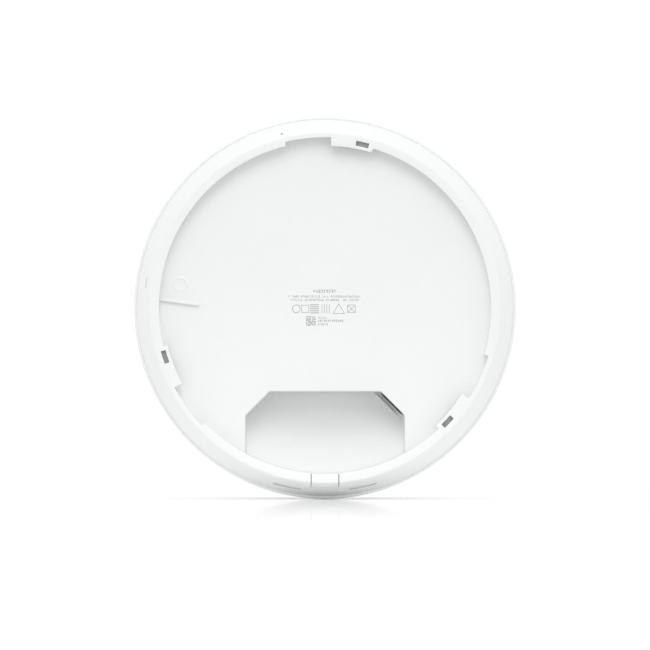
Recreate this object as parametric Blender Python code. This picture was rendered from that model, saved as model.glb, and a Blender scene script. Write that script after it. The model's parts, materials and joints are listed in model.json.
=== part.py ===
"""A round ceiling access point: a shallow disc with a recessed back that twists onto a ceiling bracket.

Lengths are in millimetres and MM turns them into Blender's metres. Every piece is drawn in the
disc frame, where x is right, y is up and z points out of the back, with z = 0 on the flat rim
that meets the ceiling or the wall. The empty called "disc" turns that frame so that the back
looks along -Y and the cable bay is at the bottom.
"""

from math import asin, ceil, cos, hypot, pi, radians, sin, sqrt

import bmesh
import bpy
from mathutils import Matrix, Vector

MM = 0.001
GAP = 0.3  # between pieces that touch

# ---- Driving dimensions --------------------------------------------------------------------------
OUTER_RADIUS = 103.0
TOTAL_DEPTH = 46.0
ROUND_STEPS = 72

# Rear shell: flat rim, conical band outside it, pocket for the bracket inside it
RIM_OUTER = 94.1
RIM_INNER = 89.1
SEAM_RADIUS = 101.5
SEAM_DEPTH = 15.0
POCKET_DEPTH = 7.0
WALL = 2.0
POCKET_WALL_BACK = 93.0
TONGUE_DEPTH = SEAM_DEPTH + 1.7

# Front dome: a quarter of a superellipse, turned
DOME_WALL = 2.2
DOME_EDGE_INNER = SEAM_RADIUS + GAP
DOME_FULLNESS_OUT = 2.6
DOME_FULLNESS_DOWN = 2.2
DOME_INNER_RADIUS = OUTER_RADIUS - DOME_WALL - 0.6

# Twist lock: three tabs, each with an entry notch beside it
TAB_START, TAB_END, NOTCH_END = 73.2, 87.9, 103.6
TAB_INNER = 86.8
TAB_THICKNESS = 2.0
NOTCH_RADIUS = 91.4
TAB_ROOT = 0.4  # degrees of each tab that lie in the pocket's wall
TAB_SLOT = (7.1, 2.8)
TAB_SLOT_RADIUS, TAB_SLOT_ANGLE = 89.8, 77.1
TABS = 3

# Latch features, drawn along the radius at LATCH_ANGLE
LATCH_ANGLE = 172.0
RIB_FROM, RIB_TO, RIB_ASIDE, RIB_WIDTH, RIB_HEIGHT = 67.4, 90.0, 7.7, 1.6, 1.6
DIMPLE_RADIUS, DIMPLE_OUT, DIMPLE_ASIDE, DIMPLE_DEPTH = 3.2, 78.7, -1.6, 0.5
RELEASE_SLOT = (6.3, 0.8)
RELEASE_RADIUS = 96.8
LATCH_WINDOW = (3.4, 2.8, 5.8)  # width, and the depths of its near and far edges
INDEX_HOLE_RADIUS, INDEX_RADIUS, INDEX_ANGLE = 0.6, 96.0, 104.0

# Vents in the band, either side of the cable exit
VENT = (14.7, 0.9)
VENT_RADIUS, VENT_ANGLES = 98.2, (258.0, 282.0)

# Cable bay
BAY_HALF_WIDTH = 43.0
BAY_TOP = -44.8
BAY_CHAMFER = 13.1
BAY_FLOOR = 24.0
BAY_RAMP_END = 13.0
BAY_ARC = RIM_INNER - 0.2
BAY_DRAFT = 0.8
BAY_REACH = 92.0  # radius to which the bay's own walls run, inside the pocket's wall
ARC_STEPS = 16
SILL_SIZE = (19.0, 1.0, 1.7)
SILL_AWAY = 3.2  # from the chamfer

# Cable exit in the rim and the cover that closes it
EXIT_HALF_WIDTH = 7.55
EXIT_DEPTH = 5.45
EXIT_SWEEP = (263.5, 276.5)
SEAM_GAP = 0.35
LEG_SLOT = (5.6, 2.1)
LEG_PLAY = 0.7
LEG_RADIUS = 92.5

# Circuit board, which carries nearly everything inside
BOARD_RADIUS = 88.0
BOARD_BACK = 23.3
BOARD_THICKNESS = 1.6
BOARD_FRONT = BOARD_BACK + BOARD_THICKNESS
SCREW_CIRCLE = 82.0
SCREW_ANGLES = (40.0, 140.0, 220.0, 320.0)
BOSS_RADIUS = 3.2
SCREW_HOLE, THREAD_HOLE = 1.5, 1.35  # radii

# Network jack, square to the right-hand chamfer of the bay
JACK_SIZE = (16.0, 16.0, 11.3)
JACK_INSET = 0.3
JACK_TOP = 9.6
JACK_LEAN = 7.5  # degrees: the deep end of the mouth stands out into the bay
PORT_SIZE = (11.9, 13.0, 6.8)
LATCH_CHANNEL = (6.2, 13.0, 1.7)
WINDOW_HALF_WIDTH = 8.5
JACK_SHEET = 0.4
CONTACT_COUNT, CONTACT_PITCH, CONTACT_WIDTH, CONTACT_THICKNESS = 8, 1.02, 0.45, 0.3
CONTACT_SLOPE = 16  # degrees

# Reset button, in the top wall of the bay
RESET_X, RESET_DEPTH, RESET_RADIUS = 16.0, 15.5, 1.3
RESET_COLLAR = (2.3, 2.4, 3.2)  # radius, start and end along the plunger
RESET_TIP = (0.8, 4.6)  # radius and end
RESET_SWITCH = (6.0, 3.6)
SWITCH_FRONT = BAY_TOP + WALL + 3.6

# Heat sink and what it cools
SINK_X, SINK_Y = (-34.0, 46.0), (-28.0, 40.0)
SINK_BASE = (15.0, 18.0)
SINK_FIN_TOP = 9.8
SINK_FINS, FIN_THICKNESS = 12, 1.5
POST_RADIUS = 3.0
PEDESTAL_END = 20.4
CHIP_HEIGHT = 1.4
PAD_THICKNESS = 0.6
CHIPS = {
    "processor": ((4.0, 8.0), 20.0),
    "radio_low": ((-20.0, 22.0), 12.0),
    "radio_mid": ((31.0, 26.0), 12.0),
    "radio_high": ((31.0, -6.0), 12.0),
}
MEMORY = ((-20.0, -6.0), (11.0, 13.0), 1.0)  # centre, sides and height
SINK_POSTS = ((-28.0, 35.0), (41.0, -23.0))

# What feeds the board from the network cable: centre, sides and height
POWER_BLOCKS = {
    "network_transformer": ((68.0, -24.0), (14.0, 18.0), 7.0),
    "power_inductor": ((56.0, -6.0), (11.0, 11.0), 5.0),
    "power_transformer": ((72.0, 4.0), (18.0, 16.0), 11.0),
}
COIL_NOTCH = (20.0, 2.5, 8.0, 3.0)  # length, width, and the heights of its top and bottom
CAPACITORS, CAPACITOR_RADIUS, CAPACITOR_HEIGHT = ((56.0, 14.0), (68.0, 22.0)), 5.0, 11.5

# Blower
FAN_CENTRE = (-58.0, -18.0)
FAN_SIDE = 42.0
FAN_TOP, FAN_BOTTOM = 9.6, 18.6
FAN_PLATE, FAN_LID = 1.2, 1.0
FAN_SCROLL, FAN_INLET = 18.6, 12.0
IMPELLER_RADIUS, HUB_RADIUS, BLADES = 16.5, 9.0, 11
CUP_RADIUS, BORE_RADIUS = 7.8, 1.2
STATOR_RADIUS, STATOR_HEIGHT, SHAFT_RADIUS = 6.9, 3.6, 0.9
LEAD_RADIUS = 0.7

# Antenna plate and light ring, on the dome side of the board
PLATE_RADIUS = 76.0
PLATE_DEPTH = 29.5
PLATE_THICKNESS = 1.2
STANDOFF_CIRCLE, STANDOFF_ANGLES = 66.0, (90.0, 210.0, 330.0)
ANTENNA_CIRCLE = 56.0
ANTENNAS = {
    "antenna_low": (30.0, 7.0, (60.0, 240.0)),
    "antenna_mid": (20.0, 7.0, (0.0, 180.0)),
    "antenna_high": (14.0, 6.0, (120.0, 300.0)),
}
ANTENNA_SHEET, ANTENNA_ARM, ANTENNA_LEG, ANTENNA_FEED = 0.6, 1.8, 2.0, (5.0, 6.5)
RADIO_SHIELDS = {"low": (-20.0, 17.0), "mid": (28.0, 24.0), "high": (25.0, -7.0)}
SHIELD_SIZE = (30.0, 26.0, 3.0)
STANDOFF_RADIUS = 2.7
RING_RADIUS = 30.0
RING_GROOVE = (2.0, 1.0)
RING_SUNK = 0.6  # the ring's face, below the dome's tip
RING_PLAY = 0.25
LAMP_BOARD = (20.0, 34.0, 1.0)  # inner and outer radius, thickness
LAMP_SUPPORT = (22.0, 24.5, 5.5)  # inner and outer radius, height
LAMPS, LAMP_SIDE = 8, 2.2
GUIDE_WIDTH, GUIDE_TIP = 3.2, 2.4

# ---- Finishes: colour, roughness, metallic -------------------------------------------------------
FINISHES = {
    "casing": ((0.90, 0.91, 0.90), 0.45, 0.0),
    "diffuser": ((0.93, 0.94, 0.95), 0.25, 0.0),
    "black_plastic": ((0.02, 0.02, 0.02), 0.5, 0.0),
    "grey_plastic": ((0.35, 0.36, 0.37), 0.5, 0.0),
    "sheet_steel": ((0.62, 0.62, 0.60), 0.35, 1.0),
    "gold": ((0.83, 0.62, 0.25), 0.3, 1.0),
    "board_green": ((0.03, 0.16, 0.07), 0.45, 0.0),
    "aluminium": ((0.70, 0.71, 0.72), 0.45, 1.0),
    "thermal_pad": ((0.45, 0.52, 0.60), 0.8, 0.0),
    "chip": ((0.03, 0.03, 0.035), 0.35, 0.0),
    "copper": ((0.80, 0.50, 0.30), 0.35, 1.0),
    "screw_steel": ((0.55, 0.55, 0.56), 0.3, 1.0),
}


# ---- Shapes: each function returns a bmesh in millimetres ----------------------------------------
def polar(radius, angle):
    """The point at this radius and this angle, in degrees counter-clockwise from +x."""
    return Vector((radius * cos(radians(angle)), radius * sin(radians(angle))))


def arc(radius, start, end, steps):
    return [polar(radius, start + (end - start) * i / steps) for i in range(steps + 1)]


def turned(profile, start=0.0, end=360.0, steps=ROUND_STEPS):
    """A closed (radius, z) profile spun round the disc's axis. Less than a full turn gets flat ends."""
    bm = bmesh.new()
    turn = Matrix.Rotation(radians(start), 4, "Z")
    points = [bm.verts.new(turn @ Vector((r, 0, z))) for r, z in profile]
    first = bm.faces.new(points)
    whole = end - start >= 360
    geometry = list(first.edges) + points
    if whole:
        bm.faces.remove(first)
    else:
        geometry.append(first)
    bmesh.ops.spin(bm, geom=geometry, axis=(0, 0, 1), cent=(0, 0, 0), angle=radians(end - start), steps=steps)
    bmesh.ops.remove_doubles(bm, verts=bm.verts, dist=1e-3)
    axis = [edge for edge in bm.edges if edge.is_wire]
    bmesh.ops.delete(bm, geom=axis, context="EDGES")
    return bm


def prism(outline, near, far):
    """An outline in x and y, given depth from near to far, measured into the disc from the rim."""
    bm = bmesh.new()
    base = bm.faces.new([bm.verts.new((x, y, -near)) for x, y in outline])
    grown = bmesh.ops.extrude_face_region(bm, geom=[base])["geom"]
    end = [v for v in grown if isinstance(v, bmesh.types.BMVert)]
    bmesh.ops.translate(bm, vec=(0, 0, near - far), verts=end)
    return bm


def rectangle(width, height, centre=(0.0, 0.0)):
    x, y = centre
    w, h = width / 2, height / 2
    return [(x - w, y - h), (x + w, y - h), (x + w, y + h), (x - w, y + h)]


def block(width, height, near, far, centre=(0.0, 0.0)):
    return prism(rectangle(width, height, centre), near, far)


def rod(radius, near, far, centre=(0.0, 0.0), steps=16):
    x, y = centre
    return prism([(x + p.x, y + p.y) for p in arc(radius, 0, 360 - 360 / steps, steps - 1)], near, far)


def sector(inner, outer, start, end, near, far):
    steps = max(2, ceil((end - start) / 2.5))
    return prism(arc(outer, start, end, steps) + arc(inner, end, start, steps), near, far)


def together(*shapes):
    """Several separate shapes in one bmesh, for one Boolean."""
    whole = bmesh.new()
    for shape in shapes:
        mesh = bpy.data.meshes.new("part")
        bmesh.ops.recalc_face_normals(shape, faces=shape.faces)
        shape.to_mesh(mesh)
        shape.free()
        whole.from_mesh(mesh)
        bpy.data.meshes.remove(mesh)
    return whole


def spun(shape, angle):
    """The shape turned about the disc's axis."""
    bmesh.ops.rotate(shape, cent=(0, 0, 0), matrix=Matrix.Rotation(radians(angle), 3, "Z"), verts=shape.verts)
    return shape


def moved(shape, x, y, z=0.0):
    bmesh.ops.translate(shape, vec=(x, y, z), verts=shape.verts)
    return shape


# ---- Objects -------------------------------------------------------------------------------------
def clear_scene():
    for obj in list(bpy.data.objects):
        bpy.data.objects.remove(obj)


def finish_of(name):
    found = bpy.data.materials.get(name)
    if found:
        return found
    colour, roughness, metallic = FINISHES[name]
    material = bpy.data.materials.new(name)
    material.use_nodes = True
    shader = material.node_tree.nodes["Principled BSDF"]
    shader.inputs["Base Color"].default_value = (*colour, 1)
    shader.inputs["Roughness"].default_value = roughness
    shader.inputs["Metallic"].default_value = metallic
    return material


def frame_empty(name, parent=None, place=(0, 0, 0), turn=(0, 0, 0)):
    """An empty that pieces are placed by: place in millimetres, turn in degrees."""
    empty = bpy.data.objects.new(name, None)
    bpy.context.scene.collection.objects.link(empty)
    empty.parent = parent
    empty.location = Vector(place) * MM
    empty.rotation_euler = [radians(angle) for angle in turn]
    return empty


def piece(name, shape, finish, parent, place=(0, 0, 0)):
    bmesh.ops.recalc_face_normals(shape, faces=shape.faces)
    bmesh.ops.scale(shape, vec=(MM, MM, MM), verts=shape.verts)
    mesh = bpy.data.meshes.new(name)
    shape.to_mesh(mesh)
    shape.free()
    mesh.shade_smooth()
    mesh.set_sharp_from_angle(angle=radians(30))
    obj = bpy.data.objects.new(name, mesh)
    bpy.context.scene.collection.objects.link(obj)
    obj.parent = parent
    obj.location = Vector(place) * MM
    if finish:
        mesh.materials.append(finish_of(finish))
    return obj


def combine(target, operation, shape, label):
    """Adds a Boolean to target. Its tool is a hidden helper under the same parent."""
    tool = piece(f"{target.name}_{label}", shape, None, target.parent, target.location / MM)
    tool.hide_render = True
    tool.display_type = "WIRE"
    modifier = target.modifiers.new(label, "BOOLEAN")
    modifier.operation = operation
    modifier.object = tool


def cut(target, shape, label="cut"):
    combine(target, "DIFFERENCE", shape, label)


def join(target, shape, label="join"):
    combine(target, "UNION", shape, label)


# ---- Casing --------------------------------------------------------------------------------------
BAND_SLOPE = (SEAM_RADIUS - RIM_OUTER) / SEAM_DEPTH
BAND_LENGTH = hypot(1, BAND_SLOPE)


def band_radius(depth, inset=0.0):
    """The conical band's radius at this depth, or that of the surface this far inside it."""
    return RIM_OUTER + BAND_SLOPE * depth - inset * BAND_LENGTH


def bay_form(grow, near, floor, ramp_end, outer):
    """The bay's shape, grown sideways: chamfered at the top, round where it meets the rim, with a floor that
    is flat as far as the arc through the chamfers' lower corners and then ramps up to ramp_end at the rim."""

    def corners(spread):
        side = BAY_HALF_WIDTH + spread
        shift = spread * (sqrt(2) - 1)
        top = (BAY_HALF_WIDTH - BAY_CHAMFER + shift, BAY_TOP + spread)
        low = (side, BAY_TOP - BAY_CHAMFER + shift)
        return [(-low[0], low[1]), (-top[0], top[1]), top, low]

    def sweep(radius, side):
        half = asin(side / radius)
        angles = [half - 2 * half * i / ARC_STEPS for i in range(ARC_STEPS + 1)]
        return [(radius * sin(a), -radius * cos(a)) for a in angles]

    upper, lower = corners(grow), corners(grow - BAY_DRAFT)
    side = BAY_HALF_WIDTH + grow
    low_side = side - BAY_DRAFT
    crease = hypot(*lower[3])
    bm = bmesh.new()

    def add(points, depth):
        return [bm.verts.new((x, y, -depth)) for x, y in points]

    top = add(upper, near)
    rim = add(sweep(outer, side), near)
    base = add(lower, floor)
    bend = [base[3]] + add(sweep(crease, low_side)[1:-1], floor) + [base[0]]
    toe = add(sweep(outer, low_side), ramp_end)
    bm.faces.new(top + rim)
    bm.faces.new(base[:3] + bend[:-1])
    for i in range(3):
        bm.faces.new((top[i], top[i + 1], base[i + 1], base[i]))
    bm.faces.new((top[3], rim[0], toe[0], base[3]))
    bm.faces.new((rim[-1], top[0], base[0], toe[-1]))
    for i in range(ARC_STEPS):
        bm.faces.new((rim[i], rim[i + 1], toe[i + 1], toe[i]))
        bm.faces.new((bend[i], bend[i + 1], toe[i + 1], toe[i]))
    return bm


def boss(angle):
    x, y = polar(SCREW_CIRCLE, angle)
    return rod(BOSS_RADIUS, POCKET_DEPTH + 1, BOARD_BACK - GAP, (x, y))


def make_rear_shell(disc):
    profile = [
        (RIM_OUTER, 0),
        (SEAM_RADIUS, -SEAM_DEPTH),
        (SEAM_RADIUS, -TONGUE_DEPTH),
        (band_radius(TONGUE_DEPTH, WALL), -TONGUE_DEPTH),
        (band_radius(3.4, WALL), -3.4),
        (POCKET_WALL_BACK, -3.4),
        (POCKET_WALL_BACK, -POCKET_DEPTH - WALL),
        (0, -POCKET_DEPTH - WALL),
        (0, -POCKET_DEPTH),
        (RIM_INNER, -POCKET_DEPTH),
        (RIM_INNER, 0),
    ]
    shell = piece("rear_shell", turned(profile), "casing", disc)

    saddle_end = EXIT_DEPTH + WALL
    saddle = [
        (NOTCH_RADIUS + 0.1, -1),
        (band_radius(1, 0.5), -1),
        (band_radius(saddle_end, 0.5), -saddle_end),
        (NOTCH_RADIUS + 0.1, -saddle_end),
    ]
    case = bay_form(WALL, POCKET_DEPTH + 0.5, BAY_FLOOR + WALL, BAY_RAMP_END + WALL, BAY_REACH)
    bosses = [boss(angle) for angle in SCREW_ANGLES]
    join(shell, together(case, turned(saddle, *EXIT_SWEEP, 6), *bosses), "case_and_bosses")

    bay = bay_form(0, POCKET_DEPTH - 1, BAY_FLOOR, BAY_RAMP_END, BAY_ARC)
    notches = [
        sector(85, NOTCH_RADIUS, TAB_START + 120 * i, NOTCH_END + 120 * i, -1, POCKET_DEPTH - 0.1)
        for i in range(TABS)
    ]
    exit_cut = block(2 * EXIT_HALF_WIDTH, 13, -1, EXIT_DEPTH, (0, -94))
    vents = [spun(block(VENT[1], VENT[0], -1, 16, (VENT_RADIUS, 0)), angle) for angle in VENT_ANGLES]
    release = spun(block(RELEASE_SLOT[1], RELEASE_SLOT[0], -1, 12, (RELEASE_RADIUS, 0)), LATCH_ANGLE)
    window = spun(block(5.5, *LATCH_WINDOW, (91, 0)), LATCH_ANGLE)
    index_depth = (INDEX_RADIUS - RIM_OUTER) / BAND_SLOPE + 1.2
    index = rod(INDEX_HOLE_RADIUS, -1, index_depth, polar(INDEX_RADIUS, INDEX_ANGLE), 12)
    screw_holes = [
        rod(THREAD_HOLE, BOARD_BACK - 9, BOARD_BACK + 1, polar(SCREW_CIRCLE, angle), 12)
        for angle in SCREW_ANGLES
    ]
    cut(shell, together(bay, *notches, exit_cut, *vents, release, window, index, *screw_holes), "openings")

    tabs = [
        sector(TAB_INNER, BAY_REACH, TAB_START - TAB_ROOT + 120 * i, TAB_END + 120 * i, 0.05, TAB_THICKNESS)
        for i in range(TABS)
    ]
    rib_centre = ((RIB_FROM + RIB_TO) / 2, RIB_ASIDE)
    rib = block(RIB_TO - RIB_FROM, RIB_WIDTH, POCKET_DEPTH - RIB_HEIGHT, POCKET_DEPTH + 1, rib_centre)
    sill = block(SILL_SIZE[0], SILL_SIZE[1], BAY_FLOOR - SILL_SIZE[2], BAY_FLOOR + 1)
    sill = moved(spun(sill, -45), *(jack_point() - polar(SILL_AWAY, 45)))
    join(shell, together(*tabs, spun(rib, LATCH_ANGLE), sill), "tabs_rib_and_sill")

    length, width = TAB_SLOT
    slots = []
    for i in range(TABS):
        slot = block(width, length, -1, TAB_THICKNESS + 1, (TAB_SLOT_RADIUS, 0))
        slots.append(spun(slot, TAB_SLOT_ANGLE + 120 * i))
    dimple = rod(DIMPLE_RADIUS, POCKET_DEPTH - 1, POCKET_DEPTH + DIMPLE_DEPTH, (DIMPLE_OUT, DIMPLE_ASIDE), 24)
    jack_window = block(2 * WINDOW_HALF_WIDTH, 9, POCKET_DEPTH + WALL + GAP, BOARD_BACK)
    jack_window = moved(spun(jack_window, -45), *(jack_point() + polar(1, 45)))
    reset_hole = lying_rod(RESET_RADIUS + GAP, 6)
    leg_slot = block(LEG_SLOT[0], LEG_SLOT[1], 4, 10, (0, -LEG_RADIUS))
    openings = together(*slots, spun(dimple, LATCH_ANGLE), jack_window, reset_hole, leg_slot)
    cut(shell, openings, "small_openings")


def lying_rod(radius, length):
    """A rod along y through the bay's top wall, where the reset button is."""
    shape = rod(radius, -length / 2, length / 2, steps=12)
    bmesh.ops.rotate(shape, cent=(0, 0, 0), matrix=Matrix.Rotation(pi / 2, 3, "X"), verts=shape.verts)
    return moved(shape, RESET_X, BAY_TOP + WALL / 2, -RESET_DEPTH)


def make_exit_cover(disc):
    """The plug in the rim. Its outside continues the rim and the band, and one leg snaps into the shell."""
    base = EXIT_DEPTH - GAP
    profile = [(RIM_OUTER, 0), (band_radius(base), -base), (RIM_INNER, -base), (RIM_INNER, 0)]
    cover = piece("cable_exit_cover", turned(profile, *EXIT_SWEEP, 8), "casing", disc)
    width = 2 * (EXIT_HALF_WIDTH - SEAM_GAP)
    combine(cover, "INTERSECT", block(width, 20, -5, 10, (0, -92)), "sides")
    leg_width, leg_height = LEG_SLOT[0] - LEG_PLAY, LEG_SLOT[1] - LEG_PLAY
    join(cover, block(leg_width, leg_height, base - 1, EXIT_DEPTH + WALL, (0, -LEG_RADIUS)), "leg")


def dome_curve(radius, height, steps):
    """Points of the superellipse from its edge to its tip, as (radius, depth past the seam)."""
    turns = [pi / 2 * i / steps for i in range(steps + 1)]
    across, down = 2 / DOME_FULLNESS_OUT, 2 / DOME_FULLNESS_DOWN
    points = [(radius * cos(t) ** across, height * sin(t) ** down) for t in turns[:-1]]
    return points + [(0.0, height)]


def band(radius, width, low, high):
    """The profile of a flat ring of this width, centred on a radius, between two values of z."""
    inner, outer = radius - width / 2, radius + width / 2
    return [(inner, low), (outer, low), (outer, high), (inner, high)]


def make_front_dome(disc):
    height = TOTAL_DEPTH - SEAM_DEPTH
    outside = [(r, -SEAM_DEPTH - d) for r, d in dome_curve(OUTER_RADIUS, height, 12)]
    rabbet = TONGUE_DEPTH + GAP
    inside = [
        (r, -SEAM_DEPTH - d)
        for r, d in dome_curve(DOME_INNER_RADIUS, height - DOME_WALL, 10)
        if SEAM_DEPTH + d > rabbet + 1
    ]
    edge = [(inside[0][0] + 0.3, -rabbet), (DOME_EDGE_INNER, -rabbet), (DOME_EDGE_INNER, -SEAM_DEPTH)]
    dome = piece("front_dome", turned(outside + inside[::-1] + edge), "casing", disc)
    width, depth = RING_GROOVE
    front = TOTAL_DEPTH - RING_SUNK
    cut(dome, turned(band(RING_RADIUS, width, -TOTAL_DEPTH - 1, -front + depth)), "ring_groove")
    ring = band(RING_RADIUS, width - 2 * RING_PLAY, -front, -front + depth - GAP)
    piece("indicator_ring", turned(ring, steps=48), "diffuser", disc)


# ---- Reset button and network jack ---------------------------------------------------------------
def make_reset(disc):
    """A stepped plunger in the bay's top wall, and the switch that it presses. The plunger slides along y."""
    collar, start, end = RESET_COLLAR
    tip, reach = RESET_TIP
    profile = [(0, 0), (RESET_RADIUS, 0), (RESET_RADIUS, start), (collar, start)]
    profile += [(collar, end), (tip, end), (tip, reach), (0, reach)]
    shape = turned(profile, steps=12)
    bmesh.ops.rotate(shape, cent=(0, 0, 0), matrix=Matrix.Rotation(-pi / 2, 3, "X"), verts=shape.verts)
    piece("reset_button", shape, "grey_plastic", disc, (RESET_X, BAY_TOP + 0.1, -RESET_DEPTH))
    width, height = RESET_SWITCH
    body = block(width, height, RESET_DEPTH - 3, BOARD_BACK - GAP, (RESET_X, SWITCH_FRONT + height / 2))
    piece("reset_switch", body, "black_plastic", disc)


def jack_point():
    """The middle of the right-hand chamfer, where the jack's mouth is."""
    inset = BAY_CHAMFER / 2
    return Vector((BAY_HALF_WIDTH - inset, BAY_TOP - inset))


def make_jack(disc):
    """Drawn with its mouth at y = 0, looking along -y, then turned square to the chamfer."""
    width, length, height = JACK_SIZE
    x, y = jack_point()
    frame = frame_empty("jack_frame", disc, (x, y, -JACK_TOP), (-JACK_LEAN, 0, -45))
    start, end = JACK_INSET, JACK_INSET + length
    bottom = height

    def between(size_x, y_from, y_to, near, far):
        return block(size_x, y_to - y_from, near, far, (0, (y_from + y_to) / 2))

    sheet = JACK_SHEET
    shield = piece("jack_shield", between(width, start, end, 0, bottom), "sheet_steel", frame)
    cut(shield, between(width - 2 * sheet, start - 1, end - sheet, sheet, bottom - sheet), "inside")

    room = sheet + GAP
    body_width, body_top, body_bottom = width - 2 * room, room, bottom - room
    shape = between(body_width, start + 0.2, end - room, body_top, body_bottom)
    body = piece("jack_body", shape, "black_plastic", frame)
    port_bottom = body_bottom - 1.2
    port_top = port_bottom - PORT_SIZE[2]
    port = between(PORT_SIZE[0], start - 1, start + PORT_SIZE[1], port_top, port_bottom)
    cut(body, port, "port")
    channel_width, channel_length, channel_depth = LATCH_CHANNEL
    channel_top = port_top - channel_depth
    channel = between(channel_width, start - 1, start + channel_length, channel_top, port_top + 0.5)
    cut(body, channel, "latch")

    outline = []
    for i in range(CONTACT_COUNT):
        middle = (i - (CONTACT_COUNT - 1) / 2) * CONTACT_PITCH
        left, right = middle - CONTACT_WIDTH / 2, middle + CONTACT_WIDTH / 2
        outline += [(left, 3.0), (left, -6.0), (right, -6.0), (right, 3.0)]
    end = CONTACT_PITCH * CONTACT_COUNT / 2
    outline += [(end, 3.0), (end, 4.5), (-end, 4.5), (-end, 3.0)]
    comb = prism(outline, 0, CONTACT_THICKNESS)
    tilt = Matrix.Rotation(radians(CONTACT_SLOPE), 3, "X")
    bmesh.ops.rotate(comb, cent=(0, 0, 0), matrix=tilt, verts=comb.verts)
    piece("jack_contacts", comb, "gold", frame, (0, start + 8, -port_bottom + 2.2))


# ---- Circuit board and heat sink -----------------------------------------------------------------
def make_board(disc):
    round_board = rod(BOARD_RADIUS, BOARD_BACK, BOARD_FRONT, steps=ROUND_STEPS)
    board = piece("main_board", round_board, "board_green", disc)
    above, below = BOARD_BACK - 2, BOARD_FRONT + 2
    cut(board, bay_form(WALL + 0.6, above, below, below, BOARD_RADIUS + 4), "bay")
    places = [polar(SCREW_CIRCLE, angle) for angle in SCREW_ANGLES] + [Vector(p) for p in SINK_POSTS]
    holes = [rod(SCREW_HOLE, BOARD_BACK - 1, BOARD_FRONT + 1, p, 12) for p in places]
    cut(board, together(*holes), "screw_holes")


def make_screw(name, place, head_depth, reach, parent):
    """A pan-head screw driven from the dome side, with one slot; reach is its length to the back."""
    profile = [
        (0, -head_depth - 1.7),
        (1.6, -head_depth - 1.7),
        (2.5, -head_depth - 1.0),
        (2.5, -head_depth),
        (1.0, -head_depth),
        (1.0, -head_depth + reach),
        (0, -head_depth + reach + 0.6),
    ]
    screw = piece(name, turned(profile, steps=12), "screw_steel", parent, (*place, 0))
    cut(screw, block(2.6, 0.6, head_depth + 0.9, head_depth + 3), "slot")


def make_heat_sink(disc):
    """A comb of fins on a plate, with a pedestal over each hot chip and two posts for its screws."""
    (left, right), (low, high) = SINK_X, SINK_Y
    near, far = SINK_BASE
    pitch = (high - low) / SINK_FINS
    fin = FIN_THICKNESS
    outline = [(low, far), (high, far), (high, near)]
    for i in range(SINK_FINS):
        start = high - i * pitch - (pitch - fin) / 2
        outline += [(start, near), (start, SINK_FIN_TOP), (start - fin, SINK_FIN_TOP), (start - fin, near)]
    outline += [(low, near)]
    shape = bmesh.new()
    base = shape.faces.new([shape.verts.new((left, y, -depth)) for y, depth in outline])
    grown = bmesh.ops.extrude_face_region(shape, geom=[base])["geom"]
    ends = [v for v in grown if isinstance(v, bmesh.types.BMVert)]
    bmesh.ops.translate(shape, vec=(right - left, 0, 0), verts=ends)
    sink = piece("heat_sink", shape, "aluminium", disc)
    pedestals = [block(side, side, far - 1, PEDESTAL_END, centre) for centre, side in CHIPS.values()]
    posts = [rod(POST_RADIUS, far - 1, BOARD_BACK - GAP, place, 12) for place in SINK_POSTS]
    join(sink, together(*pedestals, *posts), "pedestals")
    holes = [rod(THREAD_HOLE, far + 0.5, BOARD_BACK + 1, place, 12) for place in SINK_POSTS]
    cut(sink, together(*holes), "screw_holes")


def make_chips(disc):
    top = BOARD_BACK - GAP - CHIP_HEIGHT
    for name, (centre, side) in CHIPS.items():
        piece(f"{name}_chip", block(side, side, top, BOARD_BACK - GAP, centre), "chip", disc)
        pad = block(side - 1, side - 1, top - GAP - PAD_THICKNESS, top - GAP, centre)
        piece(f"{name}_pad", pad, "thermal_pad", disc)
    centre, (width, length), height = MEMORY
    memory = block(width, length, BOARD_BACK - GAP - height, BOARD_BACK - GAP, centre)
    piece("memory_chip", memory, "chip", disc)


def make_power_parts(disc):
    """What feeds the board from the network cable, all standing on its back."""
    foot = BOARD_BACK - GAP
    standing = {}
    for name, (centre, (width, length), height) in POWER_BLOCKS.items():
        finish = "black_plastic" if name == "network_transformer" else "grey_plastic"
        standing[name] = piece(name, block(width, length, foot - height, foot, centre), finish, disc)
    (x, y), (_, length), _ = POWER_BLOCKS["power_transformer"]
    along, across, top, bottom = COIL_NOTCH
    ends = [(x, y + side * length / 2) for side in (1, -1)]
    notches = [block(along, across, foot - top, foot - bottom, end) for end in ends]
    cut(standing["power_transformer"], together(*notches), "coil")
    for i, place in enumerate(CAPACITORS, 1):
        can = rod(CAPACITOR_RADIUS, foot - CAPACITOR_HEIGHT, foot, place, 20)
        piece(f"capacitor_{i}", can, "sheet_steel", disc)


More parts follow.
